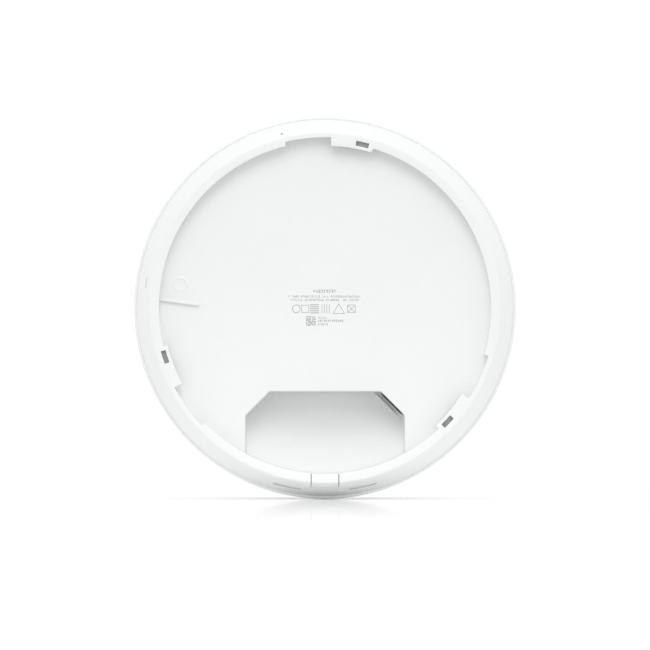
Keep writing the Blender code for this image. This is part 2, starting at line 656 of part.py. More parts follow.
# ---- Blower --------------------------------------------------------------------------------------
def make_fan(disc):
    x, y = FAN_CENTRE
    frame = frame_empty("fan_frame", disc, (x, y, 0))
    wall_top = FAN_TOP + FAN_LID + 0.4
    floor = FAN_BOTTOM - FAN_PLATE
    housing = piece("fan_housing", block(FAN_SIDE, FAN_SIDE, wall_top, FAN_BOTTOM), "black_plastic", frame)
    half = FAN_SIDE / 2
    scroll = [(half + 2, FAN_SCROLL)] + arc(FAN_SCROLL, 90, 360, 30) + [(half + 2, 0)]
    cut(housing, prism(scroll, wall_top - 1, floor), "scroll")

    cover = piece("fan_lid", block(FAN_SIDE, FAN_SIDE, FAN_TOP, FAN_TOP + FAN_LID), "black_plastic", frame)
    cut(cover, rod(FAN_INLET, FAN_TOP - 1, FAN_TOP + FAN_LID + 1, steps=32), "inlet")

    top, bottom = wall_top + GAP, floor - 0.4
    impeller = piece("fan_impeller", prism(impeller_outline(), top, bottom), "black_plastic", frame)
    cut(impeller, rod(CUP_RADIUS, top + 1.0, bottom + 1, steps=24), "cup")
    cut(impeller, rod(BORE_RADIUS, top - 1, top + 2, steps=12), "bore")

    foot, tip = GAP - floor, -top - 0.1
    shoulder = foot + STATOR_HEIGHT
    stator = [(0, foot), (STATOR_RADIUS, foot), (STATOR_RADIUS, shoulder)]
    stator += [(SHAFT_RADIUS, shoulder), (SHAFT_RADIUS, tip), (0, tip)]
    piece("fan_stator", turned(stator, steps=24), "copper", frame)


def impeller_outline():
    """A hub with swept blades, as one closed outline."""
    step = 360 / BLADES
    outline = []
    for i in range(BLADES):
        root = i * step
        outline += [polar(HUB_RADIUS, root), polar(13, root + 5), polar(IMPELLER_RADIUS, root + 13)]
        outline += [polar(IMPELLER_RADIUS, root + 17), polar(13, root + 10), polar(HUB_RADIUS, root + 8)]
        outline += [polar(HUB_RADIUS, root + 8 + (step - 8) / 2)]
    return outline


def make_fan_lead(disc):
    """Two cores in one sleeve, from the fan's corner down to a plug on the board."""
    foot = BOARD_BACK - GAP
    x, y = FAN_CENTRE
    socket = (x + 12, y + 34)
    piece("fan_plug", block(6, 5, foot - 4, foot, socket), "grey_plastic", disc)
    start = Vector((x - 10, y + FAN_SIDE / 2 + 0.4, -15))
    end = Vector((socket[0] - 3.4, socket[1], -foot + 2))
    route = [start, start + Vector((0, 5, -1)), Vector((x - 4, y + 33, -19.5)), end - Vector((5, 0, 0)), end]
    data = bpy.data.curves.new("fan_lead", "CURVE")
    data.dimensions = "3D"
    data.bevel_depth = LEAD_RADIUS * MM
    data.bevel_resolution = 2
    data.use_fill_caps = True
    points = smooth_route(route, 5)
    spline = data.splines.new("POLY")
    spline.points.add(len(points) - 1)
    for point, place in zip(spline.points, points):
        point.co = (*(place * MM), 1)
    data.materials.append(finish_of("black_plastic"))
    lead = bpy.data.objects.new("fan_lead", data)
    bpy.context.scene.collection.objects.link(lead)
    lead.parent = disc


def smooth_route(route, steps):
    """Points of a Catmull-Rom curve through the route."""
    padded = [2 * route[0] - route[1], *route, 2 * route[-1] - route[-2]]
    points = []
    for a, b, c, d in zip(padded, padded[1:], padded[2:], padded[3:]):
        for i in range(steps):
            t = i / steps
            square, cube = 2 * a - 5 * b + 4 * c - d, 3 * b - a - 3 * c + d
            points.append(0.5 * (2 * b + (c - a) * t + square * t**2 + cube * t**3))
    return points + [route[-1]]


# ---- Antennas and light ring ---------------------------------------------------------------------
def make_radio_shields(disc):
    width, length, height = SHIELD_SIZE
    near = BOARD_FRONT + GAP
    for name, centre in RADIO_SHIELDS.items():
        can = block(width, length, near, near + height, centre)
        piece(f"radio_shield_{name}", can, "sheet_steel", disc)


def make_antenna_plate(disc):
    near, far = PLATE_DEPTH, PLATE_DEPTH + PLATE_THICKNESS
    plate = piece("antenna_plate", rod(PLATE_RADIUS, near, far, steps=64), "aluminium", disc)
    places = [polar(STANDOFF_CIRCLE, angle) for angle in STANDOFF_ANGLES]
    cut(plate, together(*[rod(SCREW_HOLE, near - 1, far + 1, place, 12) for place in places]), "screw_holes")
    for i, place in enumerate(places, 1):
        hexagon = rod(STANDOFF_RADIUS, BOARD_FRONT + GAP, near - GAP, place, 6)
        post = piece(f"plate_standoff_{i}", hexagon, "screw_steel", disc)
        cut(post, rod(THREAD_HOLE, BOARD_FRONT + 1, near + 1, place, 12), "thread")
        make_screw(f"plate_screw_{i}", place, far + GAP, 4.0, disc)


def make_antennas(disc):
    """Stamped inverted-F blades standing on the plate: a ground leg, a feed leg and a long arm."""
    foot = -(PLATE_DEPTH + PLATE_THICKNESS + GAP)
    for name, (length, height, angles) in ANTENNAS.items():
        left, right, under = -length / 2, length / 2, ANTENNA_ARM - height
        feed_from, feed_to = (left + offset for offset in ANTENNA_FEED)
        outline = [
            (left, 0),
            (left + ANTENNA_LEG, 0),
            (left + ANTENNA_LEG, under),
            (feed_from, under),
            (feed_from, -0.4),
            (feed_to, -0.4),
            (feed_to, under),
            (right, under),
            (right, -height),
            (left, -height),
        ]
        for i, angle in enumerate(angles, 1):
            shape = bmesh.new()
            base = shape.faces.new([shape.verts.new((ANTENNA_CIRCLE, s, foot + z)) for s, z in outline])
            grown = bmesh.ops.extrude_face_region(shape, geom=[base])["geom"]
            end = [v for v in grown if isinstance(v, bmesh.types.BMVert)]
            bmesh.ops.translate(shape, vec=(ANTENNA_SHEET, 0, 0), verts=end)
            piece(f"{name}_{i}", spun(shape, angle), "copper", disc)


def make_light_ring(disc):
    """A ring of lamps behind the dome, with a clear guide that carries the light to the indicator ring."""
    foot = PLATE_DEPTH + PLATE_THICKNESS + GAP
    inner, outer, height = LAMP_SUPPORT
    board_near = foot + height
    support = band((inner + outer) / 2, outer - inner, -board_near + GAP, -foot)
    piece("lamp_support", turned(support, steps=32), "grey_plastic", disc)
    inner, outer, thickness = LAMP_BOARD
    board = band((inner + outer) / 2, outer - inner, -board_near - thickness, -board_near)
    lamps = piece("lamp_board", turned(board, steps=48), "casing", disc)
    lamp = (LAMP_SIDE, LAMP_SIDE, board_near + 0.5, board_near + 1.8, (RING_RADIUS, 0))
    lamp_row = [spun(block(*lamp), 360 / LAMPS * i) for i in range(LAMPS)]
    join(lamps, together(*lamp_row), "lamps")
    near, far = board_near + 2.1, TOTAL_DEPTH - DOME_WALL - 1.2
    wide, narrow = GUIDE_WIDTH / 2, GUIDE_TIP / 2
    guide = [
        (RING_RADIUS - wide, -near),
        (RING_RADIUS + wide, -near),
        (RING_RADIUS + narrow, -far),
        (RING_RADIUS - narrow, -far),
    ]
    piece("light_guide", turned(guide, steps=48), "diffuser", disc)


def main():
    clear_scene()
    disc = frame_empty("disc", turn=(90, 0, 0))
    make_rear_shell(disc)
    make_exit_cover(disc)
    make_front_dome(disc)
    make_reset(disc)
    make_jack(disc)
    make_board(disc)
    make_heat_sink(disc)
    make_chips(disc)
    make_power_parts(disc)
    make_fan(disc)
    make_fan_lead(disc)
    make_radio_shields(disc)
    make_antenna_plate(disc)
    make_antennas(disc)
    make_light_ring(disc)
    for i, angle in enumerate(SCREW_ANGLES, 1):
        make_screw(f"board_screw_{i}", polar(SCREW_CIRCLE, angle), BOARD_FRONT + GAP, 7.0, disc)
    for i, place in enumerate(SINK_POSTS, 1):
        make_screw(f"heat_sink_screw_{i}", place, BOARD_FRONT + GAP, 5.0, disc)


main()
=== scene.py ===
# %% [markdown]
# # A ceiling access point, from frame to finish
#
# The access point is a white plastic disc that twists onto a bracket. Its working parts are already
# solid models in one frame, in metres: X is right, Z is up and Y goes into the disc, with y = 0 on
# the flat rear rim. This lesson loads that frame, makes the moulded outside again as fine surfaces,
# gives every piece a finish, and ends with the floor, the lamps and the camera.

# %% Load the frame
import json
import math

import bmesh
import bpy
import numpy as np
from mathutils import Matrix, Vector


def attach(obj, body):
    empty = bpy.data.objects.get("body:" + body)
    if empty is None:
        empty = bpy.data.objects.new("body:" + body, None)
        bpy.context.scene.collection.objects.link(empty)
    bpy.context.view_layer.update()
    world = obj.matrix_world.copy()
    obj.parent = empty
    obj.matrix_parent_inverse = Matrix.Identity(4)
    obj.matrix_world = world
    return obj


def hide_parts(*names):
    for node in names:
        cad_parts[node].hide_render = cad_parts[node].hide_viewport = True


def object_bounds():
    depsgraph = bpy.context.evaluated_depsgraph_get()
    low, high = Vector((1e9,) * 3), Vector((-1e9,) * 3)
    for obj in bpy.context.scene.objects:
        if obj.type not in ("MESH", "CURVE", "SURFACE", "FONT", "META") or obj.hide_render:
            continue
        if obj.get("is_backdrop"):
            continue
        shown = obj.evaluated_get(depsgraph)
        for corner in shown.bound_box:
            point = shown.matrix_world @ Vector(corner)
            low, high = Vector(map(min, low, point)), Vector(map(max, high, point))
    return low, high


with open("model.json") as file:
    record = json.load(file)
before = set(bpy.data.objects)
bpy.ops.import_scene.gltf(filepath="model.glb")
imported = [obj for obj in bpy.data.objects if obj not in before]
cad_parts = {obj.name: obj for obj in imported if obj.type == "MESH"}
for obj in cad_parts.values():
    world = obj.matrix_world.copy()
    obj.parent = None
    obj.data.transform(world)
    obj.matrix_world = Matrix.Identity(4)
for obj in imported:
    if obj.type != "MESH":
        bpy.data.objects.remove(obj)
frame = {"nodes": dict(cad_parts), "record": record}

cad_low, cad_high = (list(corner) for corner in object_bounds())
print("frame", len(frame["nodes"]), "solid pieces from", cad_low, "to", cad_high)

# %% [markdown]
# ## Grids of points
#
# Every new surface here is a grid: rows of points along a profile, columns along a path. Sculpting or
# subdividing a box would also give a disc, but a grid puts each edge at its true radius and keeps the
# facets small only where the shape turns. A helper joins neighbours into quads and closes the grid
# into a ring where it is asked to, and several grids can go into one mesh. Working in millimetres
# keeps the numbers readable, so the helper divides by a thousand once, at the end.

# %% From grids to a piece
def quads_of(rows, columns, rows_close, columns_close):
    """Four neighbours of the grid for each quad: here, next column, next row and column, next row."""
    index = np.arange(rows * columns).reshape(rows, columns)
    below = np.roll(index, -1, axis=0)
    right = np.roll(index, -1, axis=1)
    corner = np.roll(below, -1, axis=1)
    quads = np.stack([index, right, corner, below], axis=-1)
    quads = quads if rows_close else quads[:-1]
    quads = quads if columns_close else quads[:, :-1]
    return quads.reshape(-1, 4)


def new_piece(name, grids, material, body="casing", sharp=35.0):
    """One object from grids of millimetre points (rows, columns, xyz). Beside each grid are two flags:
    whether its last row meets the first, and whether its last column does."""
    points, quads, first = [], [], 0
    for grid, rows_close, columns_close in grids:
        rows, columns = grid.shape[:2]
        points.append(grid.reshape(-1, 3) * 0.001)
        quads.append(quads_of(rows, columns, rows_close, columns_close) + first)
        first += rows * columns
    points, quads = np.concatenate(points), np.concatenate(quads)
    mesh = bpy.data.meshes.new(name)
    mesh.vertices.add(len(points))
    mesh.vertices.foreach_set("co", points.ravel())
    mesh.loops.add(quads.size)
    mesh.loops.foreach_set("vertex_index", quads.ravel())
    mesh.polygons.add(len(quads))
    mesh.polygons.foreach_set("loop_start", np.arange(len(quads)) * 4)
    mesh.update(calc_edges=True)
    bm = bmesh.new()
    bm.from_mesh(mesh)
    bmesh.ops.remove_doubles(bm, verts=bm.verts, dist=2e-6)
    bmesh.ops.dissolve_degenerate(bm, edges=bm.edges, dist=1e-7)
    bmesh.ops.delete(bm, geom=[edge for edge in bm.edges if not edge.link_faces], context="EDGES")
    bmesh.ops.recalc_face_normals(bm, faces=bm.faces)
    open_edges = sum(len(edge.link_faces) != 2 for edge in bm.edges)
    bm.to_mesh(mesh)
    bm.free()
    mesh.shade_smooth()
    mesh.set_sharp_from_angle(angle=math.radians(sharp))
    piece = bpy.data.objects.new(name, mesh)
    bpy.context.scene.collection.objects.link(piece)
    mesh.materials.append(material)
    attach(piece, body)
    print(name, len(mesh.polygons), "faces,", open_edges, "open edges")
    return piece


def turned_grid(profile, columns):
    """A closed (radius, depth) profile turned about the disc's axis: x = r cos a, z = r sin a, y = depth."""
    angle = np.linspace(0, 2 * np.pi, columns, endpoint=False)
    radius, depth = profile[:, 0, None], profile[:, 1, None]
    return np.stack([radius * np.cos(angle), depth + 0 * angle, radius * np.sin(angle)], axis=-1)


def eased(corners, radii, steps=3, closes=True):
    """Rounds each corner with the curve (1-t)^2 a + 2t(1-t) b + t^2 c, where b is the corner and a and
    c lie on its sides, a radius away or at 45% of a short side. The corners are the next to last axis,
    so whole stacks of outlines are rounded at once."""
    before, after = np.roll(corners, 1, axis=-2), np.roll(corners, -1, axis=-2)
    if not closes:
        before[..., 0, :], after[..., -1, :] = corners[..., 0, :], corners[..., -1, :]
    reach = np.broadcast_to(radii, corners.shape[:-1])[..., None]

    def leave(other):
        away = other - corners
        length = np.linalg.norm(away, axis=-1, keepdims=True)
        return corners + away * np.minimum(reach, 0.45 * length) / np.maximum(length, 1e-9)

    t = np.linspace(0, 1, steps)[:, None]
    start, end, middle = (c[..., None, :] for c in (leave(before), leave(after), corners))
    curve = (1 - t) ** 2 * start + 2 * t * (1 - t) * middle + t**2 * end
    return curve.reshape(*corners.shape[:-2], -1, 2)


def soft_step(t):
    """0 below 0, 1 above 1, and 3t^2 - 2t^3 between."""
    t = np.clip(t, 0, 1)
    return t * t * (3 - 2 * t)


def within(angle, start, end, edge=0.22):
    """1 between two angles in degrees and 0 outside, with a soft edge this many degrees wide."""
    off = np.abs((angle - (start + end) / 2 + 180) % 360 - 180)
    return soft_step(((end - start) / 2 - off) / edge + 0.5)


print("a unit step softened at its middle:", soft_step(np.array([0.0, 0.5, 1.0])))

# %% [markdown]
# ## Effects that several finishes share
#
# Moulded plastic takes its surface from the steel mould, which is spark-eroded to a fine, even grain.
# The same grain, at other sizes, serves the black and grey plastics, so it is a node group with its own
# inputs. A second group gives slow cloudiness, which keeps a large white face from looking like a flat
# fill. They put out only heights and masks: the shader itself stays in each material.

# %% Node helpers
def group(name, inputs, outputs):
    """An empty shader node group with these float inputs, given as name: default, and float outputs."""
    tree = bpy.data.node_groups.new(name, "ShaderNodeTree")
    for title, value in inputs.items():
        socket = tree.interface.new_socket(title, in_out="INPUT", socket_type="NodeSocketFloat")
        socket.default_value = value
    for title in outputs:
        tree.interface.new_socket(title, in_out="OUTPUT", socket_type="NodeSocketFloat")
    return tree, tree.nodes.new("NodeGroupInput"), tree.nodes.new("NodeGroupOutput")


def math_node(tree, operation, first, second, clamp=False):
    """A Math node. Each side is a number or a socket."""
    node = tree.nodes.new("ShaderNodeMath")
    node.operation = operation
    node.use_clamp = clamp
    for socket, value in zip(node.inputs, (first, second)):
        if isinstance(value, (int, float)):
            socket.default_value = value
        else:
            tree.links.new(value, socket)
    return node.outputs[0]


def spread(tree, value, given, made, smooth=False):
    """A Map Range from one pair of numbers to another."""
    node = tree.nodes.new("ShaderNodeMapRange")
    node.interpolation_type = "SMOOTHSTEP" if smooth else "LINEAR"
    for title, number in zip(("From Min", "From Max", "To Min", "To Max"), (*given, *made)):
        node.inputs[title].default_value = number
    tree.links.new(value, node.inputs["Value"])
    return node.outputs["Result"]


def noise(tree, scale, detail=2.0, roughness=0.5):
    """Noise on Object coordinates. Scale is per metre: 1000 gives millimetre blotches."""
    place = tree.nodes.new("ShaderNodeTexCoord")
    node = tree.nodes.new("ShaderNodeTexNoise")
    node.inputs["Detail"].default_value = detail
    node.inputs["Roughness"].default_value = roughness
    tree.links.new(place.outputs["Object"], node.inputs["Vector"])
    if isinstance(scale, (int, float)):
        node.inputs["Scale"].default_value = scale
    else:
        tree.links.new(scale, node.inputs["Scale"])
    return node.outputs["Fac"]


def make_grain():
    """Spark-eroded grain: fine noise, plus half as much at twice the size."""
    tree, given, out = group("moulded_grain", {"Grains per metre": 2600.0}, ("Height",))
    fine = noise(tree, given.outputs[0], detail=3.0, roughness=0.6)
    half = math_node(tree, "MULTIPLY", given.outputs[0], 0.45)
    coarse = noise(tree, half, detail=1.0)
    total = math_node(tree, "MULTIPLY_ADD", coarse, 0.5)
    tree.links.new(fine, total.node.inputs[2])
    tree.links.new(total, out.inputs["Height"])
    return tree


def make_cloud():
    """Slow cloudiness: two sizes of noise, averaged, as a mask from 0 to 1."""
    tree, given, out = group("slow_cloud", {"Clouds per metre": 22.0}, ("Mask",))
    wide = noise(tree, given.outputs[0], detail=3.0)
    more = math_node(tree, "MULTIPLY", given.outputs[0], 9.0)
    small = noise(tree, more, detail=4.0, roughness=0.65)
    both = math_node(tree, "ADD", wide, small)
    tree.links.new(math_node(tree, "MULTIPLY", both, 0.5, clamp=True), out.inputs["Mask"])
    return tree


GRAIN, CLOUD = make_grain(), make_cloud()
print("node groups", GRAIN.name, CLOUD.name)

# %% [markdown]
# ## Finishes
#
# One function builds any finish from a few numbers: two colours that the cloud mixes, a range of
# roughness, and a bump from the grain. Metals set Metallic on the shader's own socket. The white casing
# is a matt polycarbonate, so its two whites are nearly alike and its grain is fine and shallow. Its
# colour can also fall a little with depth into the disc. This is painted shade, which darkens the deep top
# of the cable bay beyond the shadow that its walls cast.

# %% Build a finish
def finish(name, light, dark, rough, grain=2600.0, bump=0.02, clouds=22.0, metal=0.0, coat=0.0, deep=1.0):
    """Colour = mix(dark, light, cloud), times deep at 24 mm into the disc: painted shade for the cable
    bay. Roughness = its range by the cloud. Bump = grain, this many millimetres high."""
    material = bpy.data.materials.new(name)
    material.use_nodes = True
    tree = material.node_tree
    shader = tree.nodes["Principled BSDF"]
    shader.inputs["Metallic"].default_value = metal
    shader.inputs["Coat Weight"].default_value = coat
    cloud = tree.nodes.new("ShaderNodeGroup")
    cloud.node_tree = CLOUD
    cloud.inputs[0].default_value = clouds
    ramp = tree.nodes.new("ShaderNodeValToRGB")
    ramp.color_ramp.elements[0].position, ramp.color_ramp.elements[1].position = 0.35, 0.65
    ramp.color_ramp.elements[0].color = (*dark, 1)
    ramp.color_ramp.elements[1].color = (*light, 1)
    tree.links.new(cloud.outputs["Mask"], ramp.inputs["Fac"])
    shade = tree.nodes.new("ShaderNodeVectorMath")
    shade.operation = "SCALE"
    tree.links.new(ramp.outputs["Color"], shade.inputs["Vector"])
    place = tree.nodes.new("ShaderNodeTexCoord")
    split = tree.nodes.new("ShaderNodeSeparateXYZ")
    tree.links.new(place.outputs["Object"], split.inputs[0])
    # Painted shade: from 15 mm into the disc the colour falls, down to deep times itself at 24 mm.
    tree.links.new(spread(tree, split.outputs["Y"], (0.015, 0.024), (1, deep)), shade.inputs["Scale"])
    tree.links.new(shade.outputs["Vector"], shader.inputs["Base Color"])
    tree.links.new(spread(tree, cloud.outputs["Mask"], (0.3, 0.7), rough), shader.inputs["Roughness"])
    grained = tree.nodes.new("ShaderNodeGroup")
    grained.node_tree = GRAIN
    grained.inputs[0].default_value = grain
    relief = tree.nodes.new("ShaderNodeBump")
    relief.inputs["Strength"].default_value = 0.6
    relief.inputs["Distance"].default_value = bump * 0.001
    tree.links.new(grained.outputs["Height"], relief.inputs["Height"])
    tree.links.new(relief.outputs["Normal"], shader.inputs["Normal"])
    return material


# The casing's deep=0.87 is painted shade that darkens the top of the cable bay.
white_casing = finish("white_casing", (0.800, 0.812, 0.806), (0.786, 0.800, 0.793), (0.42, 0.5), deep=0.87)
dome_white = finish("dome_white", (0.805, 0.815, 0.810), (0.790, 0.801, 0.796), (0.30, 0.38), bump=0.01)
milky = finish("milky_diffuser", (0.66, 0.70, 0.75), (0.60, 0.65, 0.70), (0.18, 0.26), bump=0.004, coat=0.3)
ink = finish("grey_ink", (0.40, 0.40, 0.41), (0.33, 0.33, 0.34), (0.5, 0.6), clouds=400.0)
black_plastic = finish("black_plastic", (0.030, 0.030, 0.032), (0.018, 0.018, 0.020), (0.38, 0.52), 1900.0)
grey_plastic = finish("grey_plastic", (0.44, 0.45, 0.46), (0.38, 0.39, 0.40), (0.4, 0.55), 1900.0)
green, dark_green = (0.030, 0.170, 0.070), (0.018, 0.110, 0.045)
cream, dark_cream = (0.84, 0.85, 0.82), (0.76, 0.77, 0.74)
board_mask = finish("board_mask", green, dark_green, (0.25, 0.4), clouds=160.0, coat=0.4)
lamp_mask = finish("lamp_board_mask", cream, dark_cream, (0.25, 0.4), clouds=120.0, coat=0.4)
pad_blue = finish("thermal_pad_blue", (0.44, 0.52, 0.62), (0.38, 0.46, 0.55), (0.7, 0.85), 1200.0, bump=0.05)
chip_black = finish("chip_epoxy", (0.034, 0.034, 0.038), (0.022, 0.022, 0.025), (0.3, 0.42), 4000.0)
METALS = {
    "tinned_steel": ((0.64, 0.64, 0.62), (0.52, 0.52, 0.51), (0.24, 0.42), 2600.0, 0.02, 90.0),
    "gold_plate": ((0.86, 0.65, 0.26), (0.72, 0.52, 0.20), (0.18, 0.3), 2600.0, 0.02, 300.0),
    "cast_aluminium": ((0.74, 0.75, 0.76), (0.60, 0.61, 0.62), (0.36, 0.55), 1500.0, 0.04, 60.0),
    "bare_copper": ((0.84, 0.52, 0.32), (0.66, 0.38, 0.22), (0.22, 0.42), 2600.0, 0.02, 140.0),
    "zinc_steel": ((0.60, 0.60, 0.62), (0.46, 0.46, 0.48), (0.22, 0.38), 2600.0, 0.02, 400.0),
}
metals = {name: finish(name, *numbers, metal=1.0) for name, numbers in METALS.items()}
SLOT_FINISHES = {
    "casing": white_casing,
    "diffuser": milky,
    "lamp_board": lamp_mask,
    "black_plastic": black_plastic,
    "grey_plastic": grey_plastic,
    "sheet_steel": metals["tinned_steel"],
    "gold": metals["gold_plate"],
    "board_green": board_mask,
    "aluminium": metals["cast_aluminium"],
    "thermal_pad": pad_blue,
    "chip": chip_black,
    "copper": metals["bare_copper"],
    "screw_steel": metals["zinc_steel"],
}
print("finishes", len(SLOT_FINISHES))

# %% [markdown]
# ## Finishes for the solid pieces
#
# The pieces inside the casing keep their solid models. Each takes the finish of its material slot, which
# the record lists piece by piece.

# %% Dress the solid pieces
for row in frame["record"]["subparts"]:
    solid = frame["nodes"][row["node"]]
    solid.data.materials.clear()
    solid.data.materials.append(SLOT_FINISHES[row["material_slot"]])

# %% [markdown]
# ## The ring round the bracket pocket
#
# The rear shell's outer ring carries the flat rim, the sloped band outside it and the pocket's wall
# inside it. Three tabs reach in over an undercut, and beside each is the notch where a bracket's lug
# enters. Cutting all of that from a turned ring would leave ragged edges at every cut, and none of them
# could be rounded. So it is one grid: a closed profile whose corners slide as the angle goes round. A
# mask is 1 along a tab or a slot and 0 elsewhere, and moves the corners that belong to it.

# %% Sizes of the ring, in millimetres and degrees
RIM_OUTER, POCKET_RADIUS, POCKET_DEPTH = 94.1, 89.1, 7.0
SEAM_RADIUS, SEAM_DEPTH, TONGUE_DEPTH = 101.5, 15.0, 16.7
SLOPE = (SEAM_RADIUS - RIM_OUTER) / SEAM_DEPTH
UNDERCUT_RADIUS, TAB_RADIUS, TAB_THICKNESS, TONGUE_RADIUS = 91.4, 86.8, 2.0, 99.4
VENT_DEEP, RELEASE_DEEP, PINHOLE_DEEP, PINHOLE_RADIUS = 1.0, 0.6, 1.4, 0.6
TAB_FROM, TAB_TO, NOTCH_TO = 73.2, 87.9, 103.6
TAB_SLOT_ANGLE, TAB_SLOT_HALF, TAB_SLOT_DEEP = 77.1, 2.14, 4.4
EXIT_HALF, EXIT_DEEP = 7.55, 5.45
EXIT_ANGLE = math.degrees(math.asin(EXIT_HALF / RIM_OUTER))
THIRDS = np.array([0, 120, 240])


def ring_angles():
    """Columns every 0.75 degrees, with five more across each soft edge."""
    edges = [a + k for k in THIRDS for a in (TAB_FROM, TAB_TO, NOTCH_TO)]
    edges += [TAB_SLOT_ANGLE + k + s * TAB_SLOT_HALF for k in THIRDS for s in (-1, 1)]
    edges += [270 + s * EXIT_ANGLE for s in (-1, 1)]
    openings = ((258, 4.29), (282, 4.29), (172, 1.86), (104, 0.36), (172, 1.08))
    edges += [centre + s * half for centre, half in openings for s in (-1, 1)]
    close = np.array(edges)[:, None] + np.array([-0.12, -0.06, 0, 0.06, 0.12])
    every = np.concatenate([np.arange(0, 360, 0.75), close.ravel()]) % 360
    return np.unique(np.round(every, 3))


def ring_grid():
    """The ring's closed profile at each angle, then placed: x = r cos a, z = r sin a."""
    angle = ring_angles()
    off = (angle + 180) % 360 - 180
    tab = sum(within(angle, TAB_FROM + k, TAB_TO + k) for k in THIRDS)
    notch = sum(within(angle, TAB_TO + k, NOTCH_TO + k) for k in THIRDS)
    slots = [(TAB_SLOT_ANGLE + k - TAB_SLOT_HALF, TAB_SLOT_ANGLE + k + TAB_SLOT_HALF) for k in THIRDS]
    slot = sum(within(angle, start, end, 0.16) for start, end in slots)
    cup = sum(within(angle, start - 0.5, end + 0.5) for start, end in slots)
    under = TAB_THICKNESS + (TAB_SLOT_DEEP + 1.0 - TAB_THICKNESS) * cup
    vent = within(angle, 253.71, 262.29, 0.2) + within(angle, 277.71, 286.29, 0.2)
    release = within(angle, 170.14, 173.86, 0.2)
    window = within(angle, 170.92, 173.08, 0.2)
    pin = np.abs((angle - 104 + 180) % 360 - 180) * math.radians(96)
    pinhole = soft_step((PINHOLE_RADIUS - pin) / 0.15 + 0.5)
    exit_mask = within(angle, 270 - EXIT_ANGLE, 270 + EXIT_ANGLE, 0.12)
    wall = POCKET_RADIUS + (UNDERCUT_RADIUS - POCKET_RADIUS) * np.clip(tab + notch, 0, 1)
    lip = wall + (TAB_RADIUS - wall) * tab
    near, far = lip + (RIM_OUTER - lip) * 0.25, lip + (RIM_OUTER - lip) * 0.575
    middle = 97.6 + 0.6 * within(angle, 245, 295, 6)
    middle = middle - 0.8 * within(angle, 160, 184, 6) - 1.6 * within(angle, 98, 110, 5)
    half = 0.5 - 0.1 * within(angle, 160, 184, 6)
    round_half = np.sqrt(np.clip(PINHOLE_RADIUS**2 - pin**2, 0.0025, PINHOLE_RADIUS**2))
    half = half + pinhole * (round_half - half)
    groove = VENT_DEEP * vent + RELEASE_DEEP * release + PINHOLE_DEEP * pinhole
    near_slot, far_slot = middle - half, middle + half

    def on_band(radius):
        return (radius - RIM_OUTER) / SLOPE

    zero = 0 * angle
    ledge = RIM_OUTER + 0.9 + (SLOPE * EXIT_DEEP - 0.9) * within(angle, 262, 278, 2)
    corners = [
        (wall, zero + 7.6, 0),
        (wall, zero + 5.8, 0.1),
        (wall + 2.2 * window, zero + 5.7, 0.1),
        (wall + 2.2 * window, np.maximum(2.9, under + 0.2), 0.1),
        (wall, np.maximum(2.8, under + 0.1), 0.1),
        (wall, under + 0.4 * (1 - tab), 0.3),
        (lip, under - 0.4 * (1 - tab), 0.3),
        (lip, zero, 0.35),
        (near - 0.12, zero, 0.15),
        (near, TAB_SLOT_DEEP * slot, 0),
        (far, TAB_SLOT_DEEP * slot, 0),
        (far + 0.12, zero, 0.15),
        (zero + RIM_OUTER, zero, 0.7),
        (ledge, on_band(ledge), 0),
        (near_slot - 0.08, on_band(near_slot - 0.08), 0.05),
        (near_slot, on_band(near_slot) + groove, 0),
        (far_slot, on_band(far_slot) + groove, 0),
        (far_slot + 0.08, on_band(far_slot + 0.08), 0.05),
        (zero + SEAM_RADIUS, zero + SEAM_DEPTH, 0.25),
        (zero + SEAM_RADIUS, zero + TONGUE_DEPTH, 0.2),
        (zero + TONGUE_RADIUS, zero + TONGUE_DEPTH, 0.2),
        (zero + 93.0, zero + 9.4, 0),
        (wall + 0.4, zero + 9.4, 0),
    ]
    radius = np.stack([c[0] for c in corners], axis=-1)
    depth = np.stack([c[1] for c in corners], axis=-1)
    order = np.arange(len(corners))
    inner = (order >= 1) & (order <= 7)
    sunk = exit_mask[:, None] * ((order >= 1) & (order <= 12))
    radius = radius + sunk * inner * order * 0.05
    depth = depth + sunk * np.maximum(EXIT_DEEP - depth, 0)
    profile = eased(np.stack([radius, depth], axis=-1), np.array([c[2] for c in corners]))
    radius, depth = profile[..., 0].T, profile[..., 1].T
    from_exit = np.radians((angle - 270 + 180) % 360 - 180)
    straight = np.arcsin(np.clip(np.sin(from_exit) * RIM_OUTER / radius, -1, 1))
    share = soft_step((9 - np.abs(np.degrees(from_exit))) / 3)
    turn = math.radians(270) + from_exit + (straight - from_exit) * share
    return np.stack([radius * np.cos(turn), depth, radius * np.sin(turn)], axis=-1)


ring = ring_grid()
print("ring grid", ring.shape)

# %% [markdown]
# ## The pocket's floor and the cable bay
#
# The floor of the pocket is flat, with a bay sunk in it for the network plug: a straight top edge, two
# chamfers, two straight sides and an arc at the bottom. One grid can follow the bay's outline. Its rows
# run from one point on the bay's floor, out to the foot of the wall, up the wall, over the rounded
# edge, across the pocket's floor into the ring, and back underneath. The bay's floor is flat at the top
# and climbs to the rim at the bottom, so that a cable can leave over it. The jack's window and the
# round reset hole are places where the wall's rows are pushed back.

